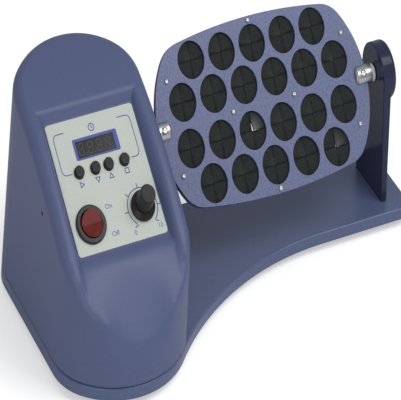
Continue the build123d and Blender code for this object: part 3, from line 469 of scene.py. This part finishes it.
# ---------------------------------------------------------------- speed dial
# Printed on the same overlay round the knob: an open ring with seven ticks across it, which spans a
# little more than the knob's travel.
dial_radius = 13.2
tick_end = 16.6
tick_count = 7
dial_travel = 282.0
dial_line = 0.7
ring_points = 64


def new_tree(name, **inputs):
    """A Geometry Nodes group with one geometry input, the named inputs and one geometry output."""
    tree = bpy.data.node_groups.new(name, "GeometryNodeTree")
    tree.interface.new_socket("Geometry", in_out="INPUT", socket_type="NodeSocketGeometry")
    for title, kind in inputs.items():
        tree.interface.new_socket(title, in_out="INPUT", socket_type="NodeSocket" + kind)
    tree.interface.new_socket("Geometry", in_out="OUTPUT", socket_type="NodeSocketGeometry")
    return tree, tree.nodes.new("NodeGroupInput"), tree.nodes.new("NodeGroupOutput")


def grow(name, tree, values, start=None):
    """Runs a node group with its inputs set by name, and returns the plain mesh object that it makes."""
    piece = bpy.data.objects.new(name, start or bpy.data.meshes.new(name))
    scene.collection.objects.link(piece)
    steps = piece.modifiers.new("nodes", "NODES")
    steps.node_group = tree
    for item in tree.interface.items_tree:
        if item.in_out == "INPUT" and item.name in values:
            steps[item.identifier] = values[item.name]
    bpy.context.view_layer.update()
    graph = bpy.context.evaluated_depsgraph_get()
    made = bpy.data.meshes.new_from_object(piece.evaluated_get(graph))
    piece.modifiers.clear()
    piece.data = made
    made.name = name
    return piece


dial_tree, given, result = new_tree(
    "dial_ring", Radius="Float", Reach="Float", Line="Float", Height="Float", Travel="Float",
    Ticks="Int", Ink="Material",
)
add = dial_tree.nodes.new
join = dial_tree.links.new


def dial_maths(operation, first, second):
    """One sum inside the dial's node group."""
    node = add("ShaderNodeMath")
    node.operation = operation
    for socket, value in zip(node.inputs, (first, second)):
        if isinstance(value, (int, float)):
            socket.default_value = value
        else:
            join(value, socket)
    return node.outputs[0]


sweep_start = dial_maths("MULTIPLY", dial_maths("SUBTRACT", given.outputs["Travel"], math.pi), -0.5)
ring = add("GeometryNodeCurveArc")
ring.inputs["Resolution"].default_value = ring_points
join(given.outputs["Radius"], ring.inputs["Radius"])
join(sweep_start, ring.inputs["Start Angle"])
join(given.outputs["Travel"], ring.inputs["Sweep Angle"])
section = add("GeometryNodeCurvePrimitiveQuadrilateral")
join(given.outputs["Line"], section.inputs["Width"])
join(given.outputs["Height"], section.inputs["Height"])
band = add("GeometryNodeCurveToMesh")
band.inputs["Fill Caps"].default_value = True
join(ring.outputs["Curve"], band.inputs["Curve"])
join(section.outputs["Curve"], band.inputs["Profile Curve"])
tick_line = add("GeometryNodeCurveArc")
middle = dial_maths("MULTIPLY", dial_maths("ADD", given.outputs["Radius"], given.outputs["Reach"]), 0.5)
join(given.outputs["Ticks"], tick_line.inputs["Resolution"])
join(middle, tick_line.inputs["Radius"])
join(sweep_start, tick_line.inputs["Start Angle"])
join(given.outputs["Travel"], tick_line.inputs["Sweep Angle"])
tick_size = add("ShaderNodeCombineXYZ")
join(dial_maths("SUBTRACT", given.outputs["Reach"], given.outputs["Radius"]), tick_size.inputs["X"])
join(given.outputs["Line"], tick_size.inputs["Y"])
join(given.outputs["Height"], tick_size.inputs["Z"])
tick = add("GeometryNodeMeshCube")
join(tick_size.outputs["Vector"], tick.inputs["Size"])
tangent = add("GeometryNodeInputTangent")
turn = add("FunctionNodeAlignRotationToVector")
turn.axis = "Y"
join(tangent.outputs["Tangent"], turn.inputs["Vector"])
ticks = add("GeometryNodeInstanceOnPoints")
join(tick_line.outputs["Curve"], ticks.inputs["Points"])
join(tick.outputs["Mesh"], ticks.inputs["Instance"])
join(turn.outputs["Rotation"], ticks.inputs["Rotation"])
together = add("GeometryNodeJoinGeometry")
join(band.outputs["Mesh"], together.inputs["Geometry"])
join(ticks.outputs["Instances"], together.inputs["Geometry"])
real = add("GeometryNodeRealizeInstances")
inked = add("GeometryNodeSetMaterial")
join(together.outputs["Geometry"], real.inputs["Geometry"])
join(real.outputs["Geometry"], inked.inputs["Geometry"])
join(given.outputs["Ink"], inked.inputs["Material"])
join(inked.outputs["Geometry"], result.inputs["Geometry"])

dial = grow("speed_dial", dial_tree, {
    "Radius": dial_radius * mm, "Reach": tick_end * mm, "Line": dial_line * mm, "Height": 2 * print_height,
    "Travel": math.radians(dial_travel), "Ticks": tick_count, "Ink": blue_ink,
})
dial.data.transform(panel_face @ Matrix.Translation((knob_from_corner.x, -knob_from_corner.y, 0)))
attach(dial, "stand")

# ---------------------------------------------------------------- printed numbers and switch words
# Plain figures at the two ends of the dial, and the words beside the rocker switch, in the same ink.
printed_words = {
    "dial_low": ("0", (52.6, 88.4), 4.6),
    "dial_high": ("10", (74.4, 88.2), 4.6),
    "switch_on": ("On", (33.2, 66.2), 5.0),
    "switch_off": ("Off", (33.0, 85.2), 5.0),
}
for name, (words, place, size) in printed_words.items():
    lettering = bpy.data.curves.new(name, "FONT")
    lettering.body = words
    lettering.size = size * mm
    lettering.extrude = print_height
    drawn = bpy.data.objects.new(name, lettering)
    scene.collection.objects.link(drawn)
    bpy.context.view_layer.update()
    shape = bpy.data.meshes.new_from_object(drawn.evaluated_get(bpy.context.evaluated_depsgraph_get()))
    bpy.data.objects.remove(drawn)
    shape.transform(panel_face @ Matrix.Translation((place[0] * mm, -place[1] * mm, 0)))
    shape.materials.clear()
    shape.materials.append(blue_ink)
    word = bpy.data.objects.new(name, shape)
    scene.collection.objects.link(word)
    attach(word, "stand")

# ---------------------------------------------------------------- timer window and display
# A smoked acrylic window over a four-digit seven-segment module. Unlit, the segments show through it only
# a shade greyer than the black around them.
smoked_acrylic = grained(
    "smoked_acrylic", (0.006, 0.005, 0.005), (0.010, 0.009, 0.009), 0.0015, 0.16, 0.000005,
)
tune(smoked_acrylic, Specular_IOR_Level=0.35)
dress(smoked_acrylic, "display_window")
display_black = grained("display_black", (0.010, 0.009, 0.009), (0.018, 0.016, 0.016), 0.0009, 0.5, 0.00001)
dress(display_black, "display_module")

digit_places = (26.6, 34.9, 43.2, 51.5)
digit_size = (4.3, 8.0)
digit_slant = 0.10
segment_width = 1.0
segment_gap = 0.35
segment_height = 0.03 * mm
point_offset = 1.5
point_radius = 0.5
digit_row = 22.3


def segment(form, start, end, width):
    """One six-sided bar of a digit, pointed at both ends."""
    along = (end - start).normalized()
    across = Vector((-along.y, along.x)) * width / 2
    tip = along * width / 2
    upper = (start, start + tip + across, end - tip + across)
    lower = (end, end - tip - across, start + tip - across)
    form.faces.new([form.verts.new((*corner, 0)) for corner in upper + lower])


bars = bmesh.new()
for centre in digit_places:
    half_width = digit_size[0] / 2
    half_height = digit_size[1] / 2
    stations = {}
    for column in (-1, 1):
        for row in (-1, 0, 1):
            lean = -digit_slant * row * half_height
            across = centre + column * half_width + lean
            stations[column, row] = Vector((across, digit_row + row * half_height))
    for row in (-1, 0, 1):
        reach = Vector((segment_gap, 0))
        segment(bars, stations[-1, row] + reach, stations[1, row] - reach, segment_width)
    for column in (-1, 1):
        for low, high in ((-1, 0), (0, 1)):
            step = (stations[column, high] - stations[column, low]).normalized() * segment_gap
            segment(bars, stations[column, low] + step, stations[column, high] - step, segment_width)
    point_place = (centre + half_width + point_offset, digit_row + half_height)
    rim = arc(point_place, point_radius, 0, 330, 11)
    bars.faces.new([bars.verts.new((*corner, 0)) for corner in rim])
segment_grey = grained("segment_grey", (0.020, 0.017, 0.017), (0.028, 0.024, 0.024), 0.0012, 0.30, 0.00001)
ink("display_segments", bars, segment_grey, height=segment_height)

# ---------------------------------------------------------------- keys
# Four black push caps with domed ends stand through the overlay. Each works its own key switch on the
# circuit board behind, which hangs from four white spacers.
cap_black = grained("cap_black", (0.006, 0.006, 0.007), (0.011, 0.011, 0.012), 0.0007, 0.30, 0.00001)
tune(cap_black, Specular_IOR_Level=0.3)
dress(cap_black, "start_button", "down_button", "up_button", "stop_button")
switch_black = grained("switch_black", (0.010, 0.010, 0.011), (0.017, 0.017, 0.018), 0.0008, 0.38, 0.00002)
dress(switch_black, "button_switches")
board_green = grained("board_green", (0.020, 0.12, 0.050), (0.035, 0.18, 0.080), 0.0020, 0.35, 0.00003)
dress(board_green, "circuit_board")
white_nylon = grained("white_nylon", (0.66, 0.69, 0.72), (0.76, 0.79, 0.82), 0.0010, 0.45, 0.00001)
dress(white_nylon, "board_spacers")

# ---------------------------------------------------------------- power switch
# A round snap-in rocker switch: black nylon body and bezel with a well, and a red translucent rocker that
# tilts on a steel pin.
dress(switch_black, "switch_body")
red_lens = grained("red_lens", (0.10, 0.004, 0.003), (0.19, 0.008, 0.006), 0.0060, 0.30, 0.00002)
tune(red_lens, Specular_IOR_Level=0.2, Subsurface_Weight=0.25, Subsurface_Scale=0.002)
dress(red_lens, "power_rocker")

# ---------------------------------------------------------------- speed knob
# A two-step black knob: a plain skirt below and a fluted grip above with a rolled top, on the steel shaft
# of the potentiometer.
knob_black = grained("knob_black", (0.009, 0.009, 0.010), (0.015, 0.015, 0.016), 0.0006, 0.40, 0.00002)
tune(knob_black, Specular_IOR_Level=0.35)
dress(knob_black, "speed_knob")
turned_aluminium = grained(
    "turned_aluminium", (0.50, 0.51, 0.52), (0.58, 0.59, 0.60), 0.0100, 0.34, 0.00001,
    metallic=1.0, stretch=(40, 1, 1),
)
dress(turned_aluminium, "pot_shaft", "left_collar", "right_collar", "drive_shaft", "idler_shaft")
dress(turned_aluminium, "drive_coupling", "motor_shaft")

# ---------------------------------------------------------------- platform plates
# Two plates punched with the tube holes and sprayed with speckled blue hammer paint, which dries in small
# pale and dark flecks. Between them they pinch the rubber sheet.
hammer_paint = grained(
    "hammer_paint", (0.066, 0.088, 0.200), (0.135, 0.165, 0.335), 0.0013, 0.36, 0.00012, contrast=0.22,
)
dress(hammer_paint, "front_plate", "back_plate")

# ---------------------------------------------------------------- rubber sheet with its tube grips
# One sheet of black rubber, cross cut in every tube hole so that four flaps close round a tube. The cut
# edges are dull and dusty, the flaps never lie quite flat, and three of them have stayed bent. Faces that
# stand out of the sheet are painted paler towards their tips, a painted highlight where they catch the
# light.
hole_pitch = 30.0
inner_rows = (15.1, 6)
outer_rows = (40.5, 5)
flap_radius = 13.3
cut_gap = 0.05
flap_thickness = 1.6
flap_rings = 8
flap_spokes = 6
flap_curve = 1.6
highlight_lift = 3.0
dusty_edge = 0.5
sheet_shrink = 0.997
sheet_squeeze = 0.999
usual_sag = (0.45, -0.3, 0.5, 0.05)
flap_wobble = 0.022
flap_seed = 7
bent_flaps = {
    (-15.0, -15.1): (-3.4, 0.3, -0.3, 0.4),
    (60.0, -40.5): (-1.8, 0.3, -0.2, 0.4),
    (75.0, 15.1): (0.3, -0.3, 0.9, 0.2),
}
plate_middle = 1.75
plate_thickness = 1.5
sheet_thickness = 2.0

platform_hub = Vector(joints["platform_spin"]["pos_m"])
platform_tilt = math.radians(41)
platform_out = Vector((0, -math.cos(platform_tilt), math.sin(platform_tilt)))
platform_up = platform_out.cross(Vector((1, 0, 0)))
platform_axes = Matrix((Vector((1, 0, 0)), platform_up, platform_out)).transposed().to_4x4()
platform_place = Matrix.Translation(platform_hub) @ platform_axes


def diaphragm(name, lifts):
    """Four flaps that fill one tube hole, each sagging from the rim towards its tip by its own amount."""
    form = bmesh.new()
    for quarter, lift in enumerate(lifts):
        spin = Matrix.Rotation(math.radians(90 * quarter), 4, "Z")
        grid = []
        for ring in range(flap_rings + 1):
            grid.append([])
            for spoke in range(flap_spokes + 1):
                angle = math.radians(90 * spoke / flap_spokes)
                facing = Vector((math.cos(angle), math.sin(angle), 0))
                tip = Vector((cut_gap, cut_gap, 0))
                inward = tip.dot(facing)
                reach = -inward + math.sqrt(inward**2 - tip.length_squared + flap_radius**2)
                out = ring / flap_rings
                point = tip + facing * reach * out
                point.z = -lift * (1 - out) ** flap_curve
                grid[-1].append(form.verts.new(spin @ point))
        for ring in range(flap_rings):
            for spoke in range(flap_spokes):
                near, far = grid[ring], grid[ring + 1]
                form.faces.new((near[spoke], far[spoke], far[spoke + 1], near[spoke + 1]))
    bmesh.ops.remove_doubles(form, verts=form.verts[:], dist=0.001)
    bmesh.ops.solidify(form, geom=form.faces[:], thickness=flap_thickness)
    bmesh.ops.recalc_face_normals(form, faces=form.faces[:])
    form.transform(Matrix.Scale(mm, 4) @ Matrix.Translation((0, 0, flap_thickness / 2)))
    cut = form.faces.layers.float.new("cut")
    for face in form.faces:
        centre = face.calc_center_median()
        upright_wall = abs(face.normal.z) < 0.5
        # Faces that stand out of the sheet get the pale colour, more the further out they stand: a painted
        # highlight.
        pulled_out = (centre.z / mm - flap_thickness / 2) / highlight_lift
        face[cut] = min(1.0, max(0.0, pulled_out))
        if upright_wall and centre.length < 0.95 * flap_radius * mm:
            face[cut] = dusty_edge
        face.smooth = not upright_wall
    mesh = bpy.data.meshes.new(name)
    form.to_mesh(mesh)
    form.free()
    return bpy.data.objects.new(name, mesh)


def hole_places():
    """Centres of the tube holes on the platform, in millimetres from its middle."""
    for spacing, count in (outer_rows, inner_rows):
        for side in (1, -1):
            for index in range(count):
                yield ((index - (count - 1) / 2) * hole_pitch, side * spacing)


scatter_tree, given, result = new_tree(
    "set_out", Item="Object", Wobble="Float", Seed="Int", Finish="Material",
)
add = scatter_tree.nodes.new
join = scatter_tree.links.new
item = add("GeometryNodeObjectInfo")
join(given.outputs["Item"], item.inputs["Object"])
wobble = add("FunctionNodeRandomValue")
wobble.data_type = "FLOAT_VECTOR"
negative = add("ShaderNodeMath")
negative.operation = "MULTIPLY"
negative.inputs[1].default_value = -1
join(given.outputs["Wobble"], negative.inputs[0])
join(negative.outputs[0], wobble.inputs["Min"])
join(given.outputs["Wobble"], wobble.inputs["Max"])
join(given.outputs["Seed"], wobble.inputs["Seed"])
copies = add("GeometryNodeInstanceOnPoints")
join(given.outputs["Geometry"], copies.inputs["Points"])
join(item.outputs["Geometry"], copies.inputs["Instance"])
join(wobble.outputs["Value"], copies.inputs["Rotation"])
real = add("GeometryNodeRealizeInstances")
finished = add("GeometryNodeSetMaterial")
join(copies.outputs["Instances"], real.inputs["Geometry"])
join(real.outputs["Geometry"], finished.inputs["Geometry"])
join(given.outputs["Finish"], finished.inputs["Material"])
join(finished.outputs["Geometry"], result.inputs["Geometry"])


def set_out(name, item, places, finish, wobble=0.0, seed=1):
    """Copies one item to every place, each turned a little by the wobble, as one plain mesh object."""
    spots = bpy.data.meshes.new(name + "_spots")
    spots.from_pydata([tuple(value * mm for value in place) for place in places], [], [])
    scene.collection.objects.link(item)
    values = {"Item": item, "Wobble": wobble, "Seed": seed, "Finish": finish}
    piece = grow(name, scatter_tree, values, spots)
    bpy.data.objects.remove(item)
    return piece


sheet_rubber = grained("sheet_rubber", (0.011, 0.014, 0.014), (0.021, 0.025, 0.025), 0.0022, 0.72, 0.00004)
tune(sheet_rubber, Specular_IOR_Level=0.25)
rubber_tree = sheet_rubber.node_tree
rubber_shades = rubber_tree.nodes["Color Ramp"]
dust_and_highlight_amount = rubber_tree.nodes.new("ShaderNodeAttribute")
dust_and_highlight_amount.attribute_name = "cut"
dust_and_highlight = rubber_tree.nodes.new("ShaderNodeMix")
dust_and_highlight.data_type = "RGBA"
# The pale colour is dust on the cut walls of the flaps, and a painted highlight on faces that stand out of
# the sheet.
dust_and_highlight.inputs["B"].default_value = (0.150, 0.156, 0.156, 1)
rubber_tree.links.new(dust_and_highlight_amount.outputs["Fac"], dust_and_highlight.inputs["Factor"])
rubber_tree.links.new(rubber_shades.outputs["Color"], dust_and_highlight.inputs["A"])
rubber_tree.links.new(dust_and_highlight.outputs["Result"], rubber_tree.nodes["Principled BSDF"].inputs["Base Color"])

usual_places = [(*place, 0) for place in hole_places() if place not in bent_flaps]
usual_item = diaphragm("usual_item", usual_sag)
flap_layers = [set_out("usual_flaps", usual_item, usual_places, sheet_rubber, flap_wobble, flap_seed)]
for place, lifts in bent_flaps.items():
    flap_layers.append(set_out("bent_flaps", diaphragm("bent_item", lifts), [(*place, 0)], sheet_rubber))

sheet = bare_form("front_plate", platform_place)
for vertex in sheet.verts:
    vertex.co.x *= sheet_shrink
    vertex.co.y *= sheet_shrink
    height = (vertex.co.z / mm - plate_middle) / plate_thickness * sheet_thickness * mm
    vertex.co.z = height * sheet_squeeze
for layer in flap_layers:
    sheet.from_mesh(layer.data)
sheet_mesh = bpy.data.meshes.new("rubber_sheet_cut")
sheet.to_mesh(sheet_mesh)
sheet.free()
sheet_mesh.transform(platform_place)
sheet_mesh.materials.append(sheet_rubber)
rubber = bpy.data.objects.new("rubber_sheet_cut", sheet_mesh)
scene.collection.objects.link(rubber)
for layer in flap_layers:
    bpy.data.objects.remove(layer)
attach(rubber, "platform")
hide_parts("rubber_sheet")

# ---------------------------------------------------------------- plate screws and collar screws
# Small zinc-plated pan-head screws with cross recesses clamp the sandwich at eight places, and a larger
# slotted screw sits in the counterbore of each collar.
plate_screw_places = [
    (0, 55.9), (0, -55.9), (86.7, 30.9), (-86.7, 30.9), (86.7, -30.9), (-86.7, -30.9), (-30, 0), (30, 0),
]
plate_face = 2.5
collar_screw_places = [(-98, 0), (98, 0)]
collar_flat = 5.95
screw_items = {
    "plate": {
        "head_radius": 1.95, "head_height": 1.3, "shank_radius": 1.0, "length": 7.8,
        "arms": 2, "arm_width": 0.62, "arm_reach": 1.3,
    },
    "collar": {
        "head_radius": 2.75, "head_height": 1.8, "shank_radius": 1.45, "length": 10.9,
        "arms": 1, "arm_width": 0.9, "arm_reach": 2.4,
    },
}
head_profile = ((0.55, 0.97), (0.8, 0.82), (0.94, 0.55), (1.0, 0.25), (1.0, 0))
head_turns = 32
arm_height = 1.4
arm_rise = 0.05
arm_step = 0.01


def pan_head(name, head_radius, head_height, shank_radius, length, arms, arm_width, arm_reach):
    """A turned screw with a domed head, cut across by one or two slot arms."""
    form = bmesh.new()
    outline = [(head_radius * out, head_height * high) for out, high in head_profile]
    outline += [(shank_radius, 0), (shank_radius, -length)]
    rings = []
    for radius, high in outline:
        rings.append([])
        for step in range(head_turns):
            angle = math.tau * step / head_turns
            rings[-1].append(form.verts.new((radius * math.cos(angle), radius * math.sin(angle), high)))
    for upper, lower in zip(rings, rings[1:]):
        for step in range(head_turns):
            after = (step + 1) % head_turns
            form.faces.new((upper[step], lower[step], lower[after], upper[after]))
    form.faces.new(rings[0])
    form.faces.new(rings[-1][::-1])
    bmesh.ops.recalc_face_normals(form, faces=form.faces[:])
    mesh = bpy.data.meshes.new(name)
    form.to_mesh(mesh)
    form.free()
    cutter_form = bmesh.new()
    block = Matrix.Diagonal((head_radius * arm_reach, arm_width, arm_height, 1))
    for arm in range(arms):
        lift = Matrix.Translation((0, 0, head_height + arm_rise - arm * arm_step))
        spin = Matrix.Rotation(math.radians(90 * arm), 4, "Z")
        bmesh.ops.create_cube(cutter_form, size=1, matrix=spin @ lift @ block)
    cutter_mesh = bpy.data.meshes.new(name + "_cutter")
    cutter_form.to_mesh(cutter_mesh)
    cutter_form.free()
    screw = bpy.data.objects.new(name, mesh)
    cutter = bpy.data.objects.new(name + "_cutter", cutter_mesh)
    for made in (screw, cutter):
        scene.collection.objects.link(made)
    carve = screw.modifiers.new("recess", "BOOLEAN")
    carve.operation = "DIFFERENCE"
    carve.solver = "EXACT"
    carve.use_self = True
    carve.object = cutter
    bpy.context.view_layer.update()
    cut = bpy.data.meshes.new_from_object(screw.evaluated_get(bpy.context.evaluated_depsgraph_get()))
    for made in (screw, cutter):
        bpy.data.objects.remove(made)
    cut.transform(Matrix.Scale(mm, 4))
    return bpy.data.objects.new(name, cut)


bright_steel = grained(
    "bright_steel", (0.40, 0.40, 0.39), (0.56, 0.56, 0.55), 0.0005, 0.34, 0.00001, metallic=1.0,
)
screw_sets = (
    ("plate_screws", "plate", plate_screw_places, plate_face, "platform_screws"),
    ("collar_slot_screws", "collar", collar_screw_places, collar_flat, "collar_screws"),
)
for name, kind, places, height, node in screw_sets:
    item = pan_head(kind + "_screw_item", **screw_items[kind])
    fasteners = set_out(name, item, [(x, y, height) for x, y in places], bright_steel)
    fasteners.data.transform(platform_place)
    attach(fasteners, "platform")
    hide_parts(node)

# ---------------------------------------------------------------- washers, drive and inlet
# White nylon washers keep the platform off the bearings. Inside the housing a plated gear motor on a bent
# aluminium bracket turns the shaft through a clamp coupling, and the low-voltage inlet is at the rear.
dress(white_nylon, "left_washer", "right_washer")
plated_can = grained(
    "plated_can", (0.36, 0.36, 0.36), (0.52, 0.52, 0.52), 0.0020, 0.34, 0.00001, metallic=1.0,
)
dress(plated_can, "gear_motor")
sheet_aluminium = grained(
    "sheet_aluminium", (0.48, 0.48, 0.49), (0.62, 0.62, 0.63), 0.0060, 0.35, 0.00001,
    metallic=1.0, stretch=(1, 1, 12),
)
dress(sheet_aluminium, "motor_bracket")
dress(switch_black, "power_inlet")
